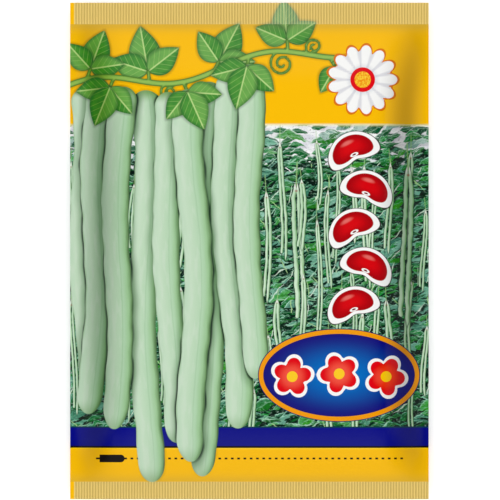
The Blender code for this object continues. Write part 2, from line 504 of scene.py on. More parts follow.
def tendril(t, size, turns, facing):
    """A spiral that leaves the vine at t and winds up: its radius falls from size to a fifth of that."""
    x, y = vine_point(t)
    along = np.linspace(0, 1, 40)
    radius = size * (1 - 0.8 * along)
    angle = facing + math.pi + 2 * math.pi * turns * along
    x = x + size * math.cos(facing) + radius * np.cos(angle)
    y = y + size * math.sin(facing) + radius * np.sin(angle)
    return list(zip(x, y))


def stems(x, y):
    """The vine, its sprigs' stalks and its tendrils, as one layer."""
    vine = stroke(x, y, list(zip(*vine_point(np.linspace(0, 1, 60)))), 2.1)
    sprigs = SPRIGS_BEHIND + SPRIGS_BEFORE
    stalks = [stroke(x, y, [vine_point(t), stalk_end(t, angle)], 1.3) for t, angle, _ in sprigs]
    curls = [stroke(x, y, tendril(*curl), 1.0) for curl in TENDRILS]
    edge = np.minimum.reduce([vine, *stalks, *curls])
    return [edge, np.zeros(x.shape), np.zeros(x.shape)]


def sprig(t, angle, size):
    """Three leaflets at the end of a stalk: base, angle, length and width of each."""
    turns = ((0, 1.0), (62, 0.84), (-62, 0.84))
    base = stalk_end(t, angle)
    return [(base, angle + turn, size * share, 0.68 * size * share) for turn, share in turns]


def leaves(x, y, sprigs, order):
    """One leaflet of every sprig, so that leaflets of one layer never cross."""
    return one_layer(x, [leaf(x, y, *sprig(*given)[order]) for given in sprigs])


# %% The pods
PODS = (
    (0.060, 108, 9.6, 2.0, 1.4, 0.4),
    (0.128, 119, 10.4, -3.5, 1.5, 2.9),
    (0.205, 124, 9.8, -2.0, 1.3, 2.2),
    (0.285, 142, 10.6, 1.0, 1.6, 0.2),
    (0.365, 127, 9.8, 3.5, 1.2, 1.1),
    (0.440, 135, 10.6, 1.0, 1.8, 4.0),
    (0.515, 143, 9.8, -1.0, 1.5, 3.0),
    (0.590, 129, 10.4, 4.0, 1.6, 1.6),
    (0.665, 114, 9.6, 1.5, 1.3, 0.8),
)
POD_LAYERS = 3


def pods(x, y, first):
    """Every third pod from the given one on, so that pods of one layer never touch. Each is given by its
    place on the vine, length, width, lean, sway and phase."""
    tops = [(vine_point(t), shape) for t, *shape in PODS[first::POD_LAYERS]]
    return one_layer(x, [pod(x, y, (top_x, top_y - 3), *shape) for (top_x, top_y), shape in tops])


# %% The far pods
FAR_COLUMNS = 30
FAR_SPACING = 4.4
NEAR_PAIRS = ((17.0, 24.0, 52.0, 1.25), (57.5, 30.0, 58.0, 1.3), (-8.0, 37.0, 50.0, 1.1))


def far_pairs(first):
    """Tops, lengths and spacings of every second column of far pairs, with the nearer pairs there."""
    chance = np.random.default_rng(23 + first)
    columns = -64.0 + FAR_SPACING * np.arange(first, FAR_COLUMNS, 2)
    nearer = NEAR_PAIRS[first::2]
    pairs = list(nearer)
    for column in columns:
        top_y = chance.uniform(14.0, 40.0)
        while top_y > -52.0:
            length = chance.uniform(20.0, 46.0)
            top_x = column + chance.uniform(-0.9, 0.9)
            if all(abs(top_x - pair[0]) > 5.5 for pair in nearer):
                pairs.append((top_x, top_y, length, chance.uniform(0.55, 0.85)))
            top_y -= length + chance.uniform(4.0, 18.0)
    return pairs


def far_pods(x, y, first):
    """Pairs of thin pods among the leaves, far behind. The layer holds the place across the nearest pair,
    in spacings, then 1 near that pair but 0 far from it, and the place along it."""
    layer = one_layer(x, [])
    nearest = np.full(x.shape, FAR)
    for top_x, top_y, length, spacing in far_pairs(first):
        along = (top_y - y) / length
        sway = 0.8 * np.sin(top_x + 4.0 * along) - 0.8 * math.sin(top_x)
        across = (x - top_x - sway) / spacing
        beyond = np.maximum(np.abs(along - 0.43) - 0.6, 0) * length / spacing
        reach = np.hypot(across, beyond)
        stamp = (across, smoothstep(3.2, 2.0, reach), along)
        layer = [np.where(reach < nearest, new, old) for new, old in zip(stamp, layer)]
        nearest = np.minimum(nearest, reach)
    return layer


# %% Beans, blossoms and the daisy
RED_BEANS = ((37, 37, 24), (43, 23, -20), (37, 9, 26), (43, -5, -24), (37, -19, 20))
BEAN_LENGTH = 15.5
BEAN_GIRTH = 0.56
BLOSSOMS = ((15.5, -45.5, 10), (32.5, -44.5, 40), (49.5, -45.5, -8))
DAISY = (41.0, 62.0, 0)
PANEL = (32.5, -45.0, 27.5, 15.0)


def bean(x, y, centre, angle):
    """A kidney shape: a slightly squared ellipse whose long axis is bent into an arc, with a dent in its
    hollow side."""
    half = BEAN_LENGTH / 2
    along, across = (place / half for place in turned(x, y, centre, angle))
    bent = across + 0.24 * along**2 - 0.06
    dent = 0.20 * bell(along, 0.0, 0.32) * smoothstep(0.1, -0.4, bent)
    reach = (np.abs(along) ** 2.3 + np.abs(bent / BEAN_GIRTH) ** 2.3) ** (1 / 2.3) + dent
    return (reach - 1) * BEAN_GIRTH * half, bent, along


def flower(x, y, centre_x, centre_y, turn, radius, count, depth):
    """A flower: its outline's radius is 1 - depth + depth * petals^depth of the whole, with petals =
    0.5 + 0.5 * cos(count * angle). Gives its edge, the reach from its centre, and petals."""
    right, above = x - centre_x, y - centre_y
    petals = 0.5 + 0.5 * np.cos(count * (np.arctan2(above, right) - math.radians(turn)))
    reach = np.hypot(right, above)
    return 0.8 * (reach - radius * (1 - depth + depth * petals**depth)), reach, petals


def red_beans(x, y):
    """A column of large beans."""
    return one_layer(x, [bean(x, y, centre, angle) for *centre, angle in RED_BEANS])


def blossoms(x, y):
    """Three flowers of five petals."""
    return one_layer(x, [flower(x, y, *given, 6.9, 5, 0.4) for given in BLOSSOMS])


def daisy(x, y):
    """One flower of 13 petals."""
    return flower(x, y, *DAISY, 12.6, 13, 0.3)


def panel(x, y):
    """An oval panel: its edge distance is its ellipse's equation over that equation's slope."""
    centre_x, centre_y, wide, high = PANEL
    ring = np.hypot((x - centre_x) / wide, (y - centre_y) / high)
    slope = np.hypot((x - centre_x) / wide**2, (y - centre_y) / high**2) / np.maximum(ring, 0.01)
    return [np.clip((ring - 1) / np.maximum(slope, 0.01), -FAR, FAR), ring, np.zeros(x.shape)]


# %% Store the layers on the film
def shoulder_shade(x, y):
    """How dark the painted shade is. Beside each side fold it is a bell, steeper towards the fold,
    that comes nearer to the fold and fainter towards both seals. The second number is the share of a
    painted grey shade close to the seals, a half bell that fades away from them."""
    side, end = from_side(x), np.maximum(from_seal(y), 0.0)
    inward = smoothstep(0.0, 34.0, end)
    centre = np.where(x < 0, 7.2 + 3.6 * inward, 4.4 + 4.0 * inward)
    below_top, above_foot = np.maximum(TOP_LINE - y, 0.0), np.maximum(y - BOTTOM_LINE, 0.0)
    depth = np.minimum(0.5 - 0.32 * np.exp(-below_top / 14.0), 0.5 - 0.36 * np.exp(-above_foot / 20.0))
    beside = depth * bell(side, centre, np.where(side < centre, 5.6, 6.8))
    grey = 0.30 * bell(below_top, 0.0, 2.4) + 0.20 * bell(above_foot, 0.0, 2.4)
    return [beside, grey, np.zeros(x.shape)]


def store_vector(mesh, name, layer):
    """Writes three numbers for each point, the same on both faces of a closed film."""
    attribute = mesh.attributes.new(name, "FLOAT_VECTOR", "POINT")
    one_side = np.stack(layer, axis=-1).reshape(-1, 3)
    attribute.data.foreach_set("vector", np.concatenate([one_side, one_side]).astype(np.float32).ravel())


def store_print(piece, x, y):
    """Works out every layer of the print at the piece's points and stores them on its mesh."""
    layers = {
        "stems": stems(x, y),
        "red_beans": red_beans(x, y),
        "blossoms": blossoms(x, y),
        "daisy": daisy(x, y),
        "panel": panel(x, y),
        "shade": shoulder_shade(x, y),
    }
    for first in range(2):
        layers[f"far_pods_{first}"] = far_pods(x, y, first)
    for first in range(POD_LAYERS):
        layers[f"pods_{first}"] = pods(x, y, first)
    for order in range(3):
        layers[f"leaves_behind_{order}"] = leaves(x, y, SPRIGS_BEHIND, order)
        layers[f"leaves_before_{order}"] = leaves(x, y, SPRIGS_BEFORE, order)
    for name, layer in layers.items():
        store_vector(piece.data, name, layer)
    return len(layers)


count = store_print(front_film, front_x, front_y)
store_print(top_band, top_x, top_y)
store_print(bottom_band, bottom_x, bottom_y)
print(f"print: {count} layers")

# %% [markdown]
# ## Finishes as node trees
#
# A finish is a tree of nodes, and adding one node takes a few lines. Two helpers take that over. A Finish
# adds nodes, and a Wire is a node's output that can be reckoned with as a number can: every sum, product
# or step adds the node that works it out. So a finish reads like the formulas that shaped the film.

# %% Inks and wires
PAPER = 0.82
BLACK = (0.0, 0.0, 0.0, 1.0)


def ink(red, green, blue):
    """An ink's colour for the shader, from red, green and blue of 0 to 255 on white paper."""
    shares = np.array([red, green, blue]) / 255
    linear = np.where(shares <= 0.04045, shares / 12.92, ((shares + 0.055) / 1.055) ** 2.4)
    return (*(PAPER * linear).tolist(), 1.0)


def reckoning(operation, swapped=False):
    """A method for a Wire: it adds the node for one operation on the wire and other values."""

    def method(wire, *others):
        values = (*others, wire) if swapped else (wire, *others)
        node = wire.finish.add(wire.kind, *values, operation=operation)
        return type(wire)(wire.finish, node.outputs[0])

    return method


class Wire:
    """A node's output. Reckoning with it, or comparing it, adds a node and gives that node's wire.
    A zigzag goes from 0 up to its width and down again, over and over."""

    kind = "Math"
    __add__ = __radd__ = reckoning("ADD")
    __sub__ = reckoning("SUBTRACT")
    __rsub__ = reckoning("SUBTRACT", swapped=True)
    __mul__ = __rmul__ = reckoning("MULTIPLY")
    __pow__ = reckoning("POWER")
    __abs__ = reckoning("ABSOLUTE")
    __lt__ = reckoning("LESS_THAN")
    __gt__ = reckoning("GREATER_THAN")
    sign = reckoning("SIGN")
    max = reckoning("MAXIMUM")
    zigzag = reckoning("PINGPONG")

    def __init__(self, finish, socket):
        self.finish = finish
        self.socket = socket

    def step(self, start, end, low=0.0, high=1.0):
        """From low to high as this goes from start to end, with a smooth step between."""
        values = (self, start, end, low, high)
        return self.finish.wire("MapRange", 0, *values, interpolation_type="SMOOTHSTEP")

    def inside(self, reach=0.0, softness=0.16):
        """1 where this is less than reach, and 0 beyond, with a narrow soft edge."""
        return self.step(reach + softness / 2, reach - softness / 2)


class Arrow(Wire):
    """The wire of a vector, which is reckoned with part by part."""

    kind = "VectorMath"


# %% A helper for finishes
class Finish:
    """A material being built."""

    def __init__(self, name):
        self.material = bpy.data.materials.new(name)
        self.material.use_nodes = True
        self.tree = self.material.node_tree
        self.place = Arrow(self, self.add("TexCoord").outputs["Object"]) * (1 / MM)
        self.x, self.y, _ = self.parts(self.place)

    def feed(self, socket, value):
        """Links a wire to a socket, or stores a plain value in it, in every part of a vector."""
        if isinstance(value, Wire):
            self.tree.links.new(value.socket, socket)
        elif socket.type == "VECTOR" and not isinstance(value, tuple):
            socket.default_value = (value,) * 3
        else:
            socket.default_value = value

    def add(self, kind, *values, **named):
        """A new node. The values go to its first inputs, and a name is an input's or a setting's."""
        node = self.tree.nodes.new(f"ShaderNode{kind}")
        for name, value in named.items():
            if name in node.inputs:
                self.feed(node.inputs[name], value)
            else:
                setattr(node, name, value)
        for socket, value in zip(node.inputs, values):
            self.feed(socket, value)
        return node

    def wire(self, kind, output, *values, **named):
        """The wire of one output of a new node."""
        return Wire(self, self.add(kind, *values, **named).outputs[output])

    def finished(self, surface):
        """The material, with values or wires on its surface's sockets."""
        for name, value in surface.items():
            self.feed(self.tree.nodes["Principled BSDF"].inputs[name], value)
        return self.material

    def parts(self, vector):
        return [Wire(self, part) for part in self.add("SeparateXYZ", vector).outputs]

    def joined(self, *values):
        return Arrow(self, self.add("CombineXYZ", *values).outputs[0])

    def length(self, *values):
        """The length of the vector that has these parts."""
        return self.wire("VectorMath", "Value", self.joined(*values), operation="LENGTH")

    def stored(self, name):
        """The three numbers of a layer: edge, across and along."""
        return self.parts(self.wire("Attribute", "Vector", attribute_name=name))

    def mix(self, share, under, over, blend="MIX"):
        """One colour laid on another, from not at all at a share of 0 to fully at 1."""
        node = self.add("Mix", share, data_type="RGBA", blend_type=blend)
        for index, colour in ((6, under), (7, over)):
            self.feed(node.inputs[index], colour)
        return Wire(self, node.outputs[2])

    def shades(self, value, *stops):
        """A colour ramp over a value from 0 to 1, with stops of place and colour."""
        node = self.add("ValToRGB", value)
        band = node.color_ramp.elements
        while len(band) < len(stops):
            band.new(1.0)
        for element, (place, colour) in zip(band, stops):
            element.position = place
            element.color = colour
        return Wire(self, node.outputs[0])

    def richer(self, colour, saturation):
        return self.wire("HueSaturation", 0, Saturation=saturation, Color=colour)

    def noise(self, place, scale, detail=2.0, roughness=0.5):
        settings = {"Scale": scale, "Detail": detail, "Roughness": roughness}
        return self.wire("TexNoise", "Fac", Vector=place, **settings)

    def wander(self, scale):
        """Three slow noises at once, each about 0, to push a pattern about with."""
        return Arrow(self, self.add("TexNoise", Vector=self.place, Scale=scale).outputs["Color"]) - 0.5


# %% [markdown]
# ## Foliage without a picture
#
# Behind the pods the print shows a hedge of leaves. A Voronoi texture scatters points evenly, and for
# every spot it gives the nearest point and three random numbers. Measured from that point and turned by
# one of them, the spot's place is its place in one leaf, so a leaf's outline, rib and light and dark halves
# are a few more sums. Several such layers, some dark and some with a pale sheen, overlap into a hedge.

# %% Scattered marks
def scattered(finish, size, flatness, offset, lean, swing):
    """Marks about a size apart across and size over flatness apart in height, turned by lean plus or
    minus swing. Gives every spot's place along and across its mark, and two of its random numbers."""
    place = finish.place + finish.wander(0.16) * 3.0 + finish.wander(0.75) * 0.7
    flat = (place + (offset, 0.7 * offset, 0.0)) * (1.0, flatness, 0.0)
    cells = finish.add(
        "TexVoronoi", voronoi_dimensions="2D", Vector=flat, Scale=1.1 / size, Randomness=0.95
    )
    turn, chance, tone = finish.parts(Wire(finish, cells.outputs["Color"]))
    from_middle = (flat - Wire(finish, cells.outputs["Position"])) * (1.0, 1 / flatness, 0.0)
    angle = turn * (2 * swing) - (lean + swing)
    rotated = finish.wire("VectorRotate", 0, rotation_type="Z_AXIS", Vector=from_middle, Angle=angle)
    along, across, _ = finish.parts(rotated)
    return along, across, chance, tone


# %% One layer of leaves
def scattered_leaves(finish, under, layer, sky):
    """Lays one layer of leaves on the colour under. A leaf's width goes as (1 - |t|^1.2) * (1 - 0.45 t),
    with t from -1 at one end to 1 at the tip. The half above its rib is lit, the half below is dark."""
    size, flatness, offset, share, dark, bright = layer
    along, across, chance, tone = scattered(finish, size, flatness, offset, 0.3, 0.5)
    across = across + along * along * (0.5 / size)
    t = along * (tone * (0.8 / size) + 1.8 / size)
    half = (1 - abs(t) ** 1.2) * (1 - 0.45 * t) * (0.15 * size)
    edge = abs(across) - half
    present = chance < share - 0.35 * share * sky

    fallen = abs(across + 0.11 * size) - half
    shadow = fallen.step(0.08 * size, -0.01 * size) * present * (0.95 - 0.8 * sky)
    under = finish.mix(shadow, under, ink(0, 22, 14))
    colour = finish.mix(tone, ink(*dark), ink(*bright))
    streaks = finish.noise(finish.joined(along * 0.4, across * 1.8), 6.0 / size, 3.0, 0.6)
    lit = across.step(-0.01 * size, 0.02 * size) * streaks.step(0.3, 0.6) * 0.3
    colour = finish.mix(lit, colour, ink(140, 192, 168))
    colour = finish.mix(streaks.step(0.46, 0.32, 0.0, 0.6), colour, ink(0, 48, 26))
    rib = abs(across).step(0.02 * size, 0.005 * size, 0.0, 0.4)
    colour = finish.mix(rib, colour, ink(176, 214, 184))
    glint = (half - across).step(0.05 * size, 0.01 * size) * streaks.step(0.42, 0.58)
    colour = finish.mix(glint, colour, ink(222, 240, 228))
    return finish.mix(edge.inside() * present, under, colour)


LEAF_LAYERS = (
    (13.0, 2.9, 3.0, 1.0, (0, 40, 26), (0, 84, 44)),
    (9.0, 3.0, 41.0, 0.9, (0, 60, 30), (24, 124, 50)),
    (12.0, 3.1, 87.0, 0.55, (50, 110, 96), (160, 188, 180)),
    (8.0, 3.0, 133.0, 0.6, (0, 80, 36), (54, 150, 70)),
    (16.0, 3.0, 171.0, 0.35, (0, 100, 34), (84, 172, 46)),
    (10.5, 3.2, 209.0, 0.35, (84, 140, 124), (196, 214, 208)),
    (7.0, 2.9, 251.0, 0.4, (0, 74, 30), (96, 170, 84)),
)


# %% Thin marks across the leaves
SLIVERS = (
    (6.5, 2.2, 0.42, 307.0, 0.25, 0.5, 0.6, (0, 34, 22)),
    (5.5, 2.2, 0.20, 347.0, 0.30, 0.5, 0.22, (160, 206, 176)),
    (8.0, 1.0, 0.16, 23.0, 0.9, 0.6, 0.45, (214, 234, 214)),
    (8.0, 1.0, 0.16, 71.0, -1.1, 0.6, 0.35, (168, 210, 146)),
)


def slivers(finish, under, marks, grounded):
    """Lays thin marks on the colour under: gaps, folds or stalks. Half a mark's width is its middle's
    times 1 - t^2, with t from -1 at one end to 1 at the other. In the sky there are none."""
    size, flatness, middle, offset, lean, swing, share, tint = marks
    along, across, chance, _ = scattered(finish, size, flatness, offset, lean, swing)
    t = along * (2.0 / size)
    edge = abs(across) - middle * (1 - t * t)
    present = chance < grounded * share
    return finish.mix(edge.inside(softness=0.2) * present, under, ink(*tint))


# %% The hedge
GREEN_CAST = (0.60, 0.92, 0.78, 1.0)
DEEP_SHADE = (0.25, 0.55, 0.42, 1.0)


def foliage(finish, sky):
    """The hedge: a dark ground, sky above it, leaf layers on both, then patches of shade, thin marks, and
    small glints where a quick noise peaks."""
    gaps = finish.noise(finish.place, 0.5)
    colour = finish.mix(gaps.step(0.45, 0.6), ink(2, 30, 26), ink(8, 80, 52))
    cloud = finish.noise(finish.place * (1.0, 3.0, 1.0), 0.12)
    bright = finish.mix(cloud.step(0.35, 0.6), ink(222, 222, 230), ink(253, 253, 253))
    colour = finish.mix(sky, colour, bright)
    for layer in LEAF_LAYERS:
        colour = scattered_leaves(finish, colour, layer, sky)
    grounded = 1 - sky
    colour = finish.mix(grounded, colour, GREEN_CAST, "MULTIPLY")
    patches = finish.noise(finish.place, 0.06).step(0.54, 0.34, 0.0, 0.8)
    colour = finish.mix(patches * grounded, colour, DEEP_SHADE, "MULTIPLY")
    for marks in SLIVERS:
        colour = slivers(finish, colour, marks, grounded)
    flecks = finish.noise(finish.place * (1.0, 2.2, 1.0), 0.8, 3.0, 0.7)
    colour = finish.mix(flecks.step(0.44, 0.34, 0.0, 0.6), colour, ink(0, 44, 26))
    colour = finish.mix(flecks.step(0.56, 0.64, 0.0, 0.4), colour, ink(160, 204, 180))
    return finish.mix(flecks.step(0.68, 0.74, 0.0, 0.85), colour, ink(228, 244, 234))


# %% The hedge against the sky
def hedge(finish):
    """The leaves and the sky above them, which begins at a ragged line."""
    cloud = finish.noise(finish.place * (0.7, 2.0, 1.0), 0.10)
    ragged = finish.noise(finish.place * (0.7, 1.6, 1.0), 0.35)
    height = finish.y - 30.0 + cloud * 36.0 + ragged * 24.0
    return foliage(finish, height.step(32, 35))


# %% [markdown]
# ## Motifs on clear film
#
# Everything in front of the hedge is printed in layers. They could be laid on the hedge one by one, but
# the renderer has little memory for one finish, and it would keep all their numbers until the hedge, the
# longest sum of all, is done. So they are laid on clear film first, which needs two results only: their
# colour, and how clear the film still is. The hedge then goes behind them in one step.

# %% Clear film
class Picture:
    """Layers on clear film: their colour, black where the film is clear, and how clear it is."""

    def __init__(self, finish):
        self.finish = finish
        self.colour = BLACK
        self.clear = 1.0

    def lay(self, share, colour):
        """Lays a colour on the picture, from not at all at a share of 0 to fully at 1."""
        self.colour = self.finish.mix(share, self.colour, colour)
        self.clear = self.clear - self.clear * share

    def over(self, ground):
        """The picture's colour with a ground behind it."""
        seen = self.finish.mix(self.clear, BLACK, ground)
        return self.finish.mix(1.0, self.colour, seen, "ADD")


# %% [markdown]
# ## The printed ground
#
# From top to bottom the ground is a yellow header, the hedge, a navy stripe with two thin lines, and a
# yellow footer with a dashed tear line that starts at a black tab.

# %% Fields and stripes
YELLOW = ink(255, 193, 2)
HAZE = ink(250, 238, 176)
NAVY = ink(12, 16, 134)
ORANGE = ink(244, 156, 18)
NEAR_BLACK = ink(12, 6, 4)
WHITE = ink(252, 252, 250)
HEADER_FOOT = 45.9
STRIPE_TOP = -63.6
STRIPE_LIP = -64.1
STRIPE_FOOT = -70.65
DARK_LINE_FOOT = -71.35
PALE_LINE_FOOT = -71.85


def lay_fields(picture):
    """The header, the stripe and the footer."""
    y = picture.finish.y
    picture.lay(y.step(HEADER_FOOT - 1.2, HEADER_FOOT, 0.0, 0.8), HAZE)
    picture.lay(y.step(HEADER_FOOT - 0.3, HEADER_FOOT + 0.5), YELLOW)
    for start, below in (
        (STRIPE_TOP, ink(6, 52, 84)),
        (STRIPE_LIP, NAVY),
        (STRIPE_FOOT, NEAR_BLACK),
        (DARK_LINE_FOOT, ink(255, 206, 40)),
        (PALE_LINE_FOOT, YELLOW),
    ):
        picture.lay(y.inside(start), below)


# %% The tear line
TEAR_LINE = -75.2
TEAR_REACH = 55.72
DASH_PITCH = 2.274
DASH_START = 0.63
DASH_LENGTH = 1.0
DASH_HEIGHT = 0.66
STUB_MIDDLE = -54.9
STUB_LENGTH = 1.4
TAB_MIDDLE = -49.75
TAB_SIZE = (4.55, 1.4)


def lay_tear_line(picture):
    """Dashes across the footer, a stub before them, and the tab, which is round on its right."""
    x, y = picture.finish.x, picture.finish.y
    dash = (x - DASH_START).zigzag(DASH_PITCH / 2).inside(DASH_LENGTH / 2) * abs(x).inside(TEAR_REACH)
    stub = abs(x - STUB_MIDDLE).inside(STUB_LENGTH / 2)
    off_line = abs(y - TEAR_LINE)
    picture.lay(dash.max(stub) * off_line.inside(DASH_HEIGHT / 2), NEAR_BLACK)
    from_tab = x - TAB_MIDDLE
    past_square = (from_tab - (TAB_SIZE[0] - TAB_SIZE[1])).max(0.0)
    rounded = picture.finish.length(past_square, off_line) - TAB_SIZE[1]
    picture.lay(rounded.max(-TAB_SIZE[0] - from_tab).inside(), NEAR_BLACK)


# %% [markdown]
# ## Pods, leaves and the other motifs
#
# Each motif lays its colour on what is under it, inside its stored edge. A soft dark rim just outside
# the edge makes it stand off the hedge, as the shadow does in a printed photograph.

# %% The pods' colours
def lay_pods(picture, name, covered):
    """Round pale pods, lit from the left: a ramp from a light left side to a dark right side, a faint
    seam and streaks along them. Pods that are covered so far darken on both sides of a new one, more on
    its right, and the ground hardly does. Returns what is covered now."""
    finish = picture.finish
    edge, across, along = finish.stored(name)
    picture.lay(edge.step(3.2, 0.0) * across.step(-1.0, 1.0, 0.55, 0.8) * covered, ink(84, 124, 80))
    broken = finish.noise(finish.place * (1.0, 0.5, 1.0), 0.12).step(0.38, 0.6, 0.2, 1.0)
    line = edge.step(broken * 0.8 + 0.25, 0.1) * broken * (covered * 0.75 + 0.2)
    picture.lay(line, ink(10, 26, 22))
    streaks = finish.noise(finish.joined(across * 2.0, along * 9.0), 1.6, 3.0)
    side = across * 0.5 + streaks * 0.12 + 0.44
    colour = finish.shades(
        side,
        (0.0, ink(164, 194, 158)),
        (0.05, ink(192, 220, 191)),
        (0.22, ink(200, 225, 197)),
        (0.44, ink(191, 220, 188)),
        (0.66, ink(180, 215, 178)),
        (0.84, ink(158, 200, 150)),
        (0.94, ink(112, 150, 100)),
        (1.0, ink(62, 92, 60)),
    )
    pale = streaks.step(0.46, 0.64) * side.step(0.75, 0.45, 0.0, 0.5)
    colour = finish.mix(pale, colour, ink(208, 227, 205))
    seam = abs(across - (streaks * 0.16 + 0.12)).step(0.08, 0.0, 0.0, 0.3)
    colour = finish.mix(seam, colour, ink(140, 184, 138))
    tip, cap = along.step(0.955, 1.0, 0.0, 0.5), along.step(0.035, 0.0, 0.0, 0.85)
    colour = finish.mix(tip, colour, ink(132, 172, 122))
    colour = finish.mix(cap, colour, ink(104, 150, 70))
    here = edge.inside()
    picture.lay(here, colour)
    return here.max(covered)


# %% The far pods' colours
def lay_far_pods(picture, name):
    """Thin pairs of pods among the leaves. Both pods of a pair start at one white point on a thin stalk,
    with a brown eye just below it, and part until their middles lie one spacing to either side."""
    finish = picture.finish
    across, near, along = finish.stored(name)
    shown = near > 0.5
    off_pair = abs(across)
    spread = finish.noise(finish.place, 0.22, 1.0) * 0.9 + along.step(0.0, 0.1, -0.25, 0.27)
    spread = spread + along.step(0.1, 0.6, 0.0, 0.2)
    end = across.step(-0.1, 0.1, 0.93, 0.995)
    taper = along.step(-0.02, 0.09) * along.step(end, 0.92)
    half = taper ** 0.5 * (finish.noise(finish.place, 0.9, 1.0) * 0.24 + 0.56) - 0.1
    edge = abs(off_pair - spread) - half

    within = along.step(-0.03, 0.04) * along.step(1.02, 0.97)
    picture.lay(within * edge.step(0.6, 0.0, 0.0, 0.8) * shown, ink(6, 44, 30))
    stalk = along.step(-0.17, -0.15) * along.step(0.03, 0.0) * off_pair.step(0.3, 0.1, 0.0, 0.7)
    picture.lay(stalk * shown, ink(156, 198, 130))
    tone = finish.noise(finish.place, 0.09, 1.0)
    colour = finish.mix(tone.step(0.35, 0.65), ink(192, 224, 190), ink(212, 238, 208))
    side = across - across.sign() * spread
    colour = finish.mix(side.step(-0.1, 0.6), colour, ink(128, 178, 122))
    colour = finish.mix(along.step(0.06, 0.0), colour, ink(244, 246, 238))
    picture.lay(edge.inside(softness=0.25) * shown, colour)
    eye = finish.length(across, along * 50.0 - 2.2).step(0.6, 0.2, 0.0, 0.7)
    picture.lay(eye * shown, ink(150, 84, 70))


# %% The vine's colours
def lay_shadow(picture, edge, width, depth):
    """Darkens what lies just outside an edge."""
    picture.lay(edge.step(width, -0.2, 0.0, depth), ink(30, 46, 22))


def lay_leaves(picture, name):
    """Large leaves: one half lighter, a pale midrib, side veins, and darker towards the rim."""
    finish = picture.finish
    edge, across, along = finish.stored(name)
    lay_shadow(picture, edge, 1.2, 0.45)
    colour = finish.mix(finish.noise(finish.place, 0.35, 3.0), ink(46, 122, 50), ink(96, 168, 66))
    colour = finish.mix(across.step(-0.25, 0.25, 0.0, 0.35), colour, ink(152, 204, 110))
    veins = (along * 15.0 - abs(across)).zigzag(1.25).step(0.24, 0.0, 0.0, 0.5)
    colour = finish.mix(veins, colour, ink(172, 210, 120))
    colour = finish.mix(abs(across).step(0.34, 0.16, 0.0, 0.9), colour, ink(190, 222, 140))
    colour = finish.mix(edge.step(-1.4, 0.0, 0.0, 0.55), colour, ink(30, 92, 44))
    picture.lay(edge.inside(), colour)


def lay_stems(picture):
    """The vine, its stalks and its tendrils, lighter along their middle."""
    edge, _, _ = picture.finish.stored("stems")
    lay_shadow(picture, edge, 1.0, 0.35)
    colour = picture.finish.mix(edge.step(0.0, -0.8), ink(70, 120, 44), ink(150, 192, 92))
    picture.lay(edge.inside(), colour)


# %% The beans' and flowers' colours
def lay_red_beans(picture):
    """Red beans with a white outline, a soft crest and a small pale eye."""
    finish = picture.finish
    edge, across, along = finish.stored("red_beans")
    picture.lay(edge.inside(1.3), ink(40, 20, 24))
    picture.lay(edge.inside(1.1), WHITE)
    colour = finish.mix(edge.step(0.0, -3.4), ink(168, 0, 10), ink(218, 6, 16))
    gleam = finish.length(along + 0.1, across * 3.0 - 0.8)
    colour = finish.mix(gleam.step(0.42, 0.1, 0.0, 0.5), colour, ink(250, 150, 140))
    eye = finish.length(along, across * 2.4 + 0.86)
    colour = finish.mix(eye.step(0.22, 0.18), colour, WHITE)
    colour = finish.mix(eye.step(0.12, 0.07), colour, ink(120, 20, 20))
    picture.lay(edge.inside(), colour)


def lay_daisy(picture):
    """A white daisy with grey folds between its petals and a red and yellow heart."""
    finish = picture.finish
    edge, reach, petals = finish.stored("daisy")
    fold_grey = ink(150, 150, 176)
    picture.lay(edge.inside(0.7), ink(222, 116, 20))
    colour = finish.mix(petals.step(0.5, 0.0, 0.0, 0.35), WHITE, fold_grey)
    colour = finish.mix(reach.step(6.5, 4.0, 0.0, 0.3), colour, fold_grey)
    picture.lay(edge.inside(), colour)
    picture.lay(reach.step(4.55, 4.4), ink(226, 14, 26))
    grain = finish.noise(finish.place, 1.8).step(0.4, 0.6)
    picture.lay(reach.step(3.05, 2.9), finish.mix(grain, ink(244, 150, 16), ink(255, 214, 60)))


def lay_panel(picture):
    """A blue oval with an orange rim between two dark lines, brighter towards its middle."""
    edge, ring, _ = picture.finish.stored("panel")
    glow = picture.finish.mix(ring.step(1.0, 0.1), ink(26, 24, 124), ink(0, 112, 196))
    dark = ink(24, 28, 96)
    for reach, colour in ((1.9, dark), (1.6, ORANGE), (0.0, dark), (-0.3, glow)):
        picture.lay(edge.inside(reach), colour)


def lay_blossoms(picture):
    """Red blossoms with a white outline, a lighter heart and a yellow eye."""
    finish = picture.finish
    edge, reach, _ = finish.stored("blossoms")
    picture.lay(edge.inside(1.0), WHITE)
    colour = finish.mix(reach.step(2.0, 6.0), ink(244, 84, 66), ink(226, 6, 22))
    colour = finish.mix(reach.step(2.05, 1.9), colour, ink(255, 206, 40))
    picture.lay(edge.inside(), colour)


# %% The front's print
def front_print(finish):
    """The hedge behind the motifs, which are laid from the farthest to the nearest."""
    picture = Picture(finish)
    for first in range(2):
        lay_far_pods(picture, f"far_pods_{first}")
    lay_fields(picture)
    lay_tear_line(picture)
    for order in range(3):
        lay_leaves(picture, f"leaves_behind_{order}")
    lay_stems(picture)
    covered = 0.0
    for first in range(POD_LAYERS):
        covered = lay_pods(picture, f"pods_{first}", covered)
    for order in (1, 2, 0):
        lay_leaves(picture, f"leaves_before_{order}")
    for lay in (lay_daisy, lay_panel, lay_blossoms, lay_red_beans):
        lay(picture)
    return picture.over(hedge(finish))


# %% [markdown]
# ## The back's print
#
# The web is printed in one go, so the ground runs round both side folds and across the back. On it are
# two bare pale fields, one on each side of the fin.

# %% Bare fields on the back
FIELDS = ((33.0, 2.0, 20.0, 44.0), (-34.5, 2.0, 19.5, 44.0))
FIELD_ROUND = 4.0


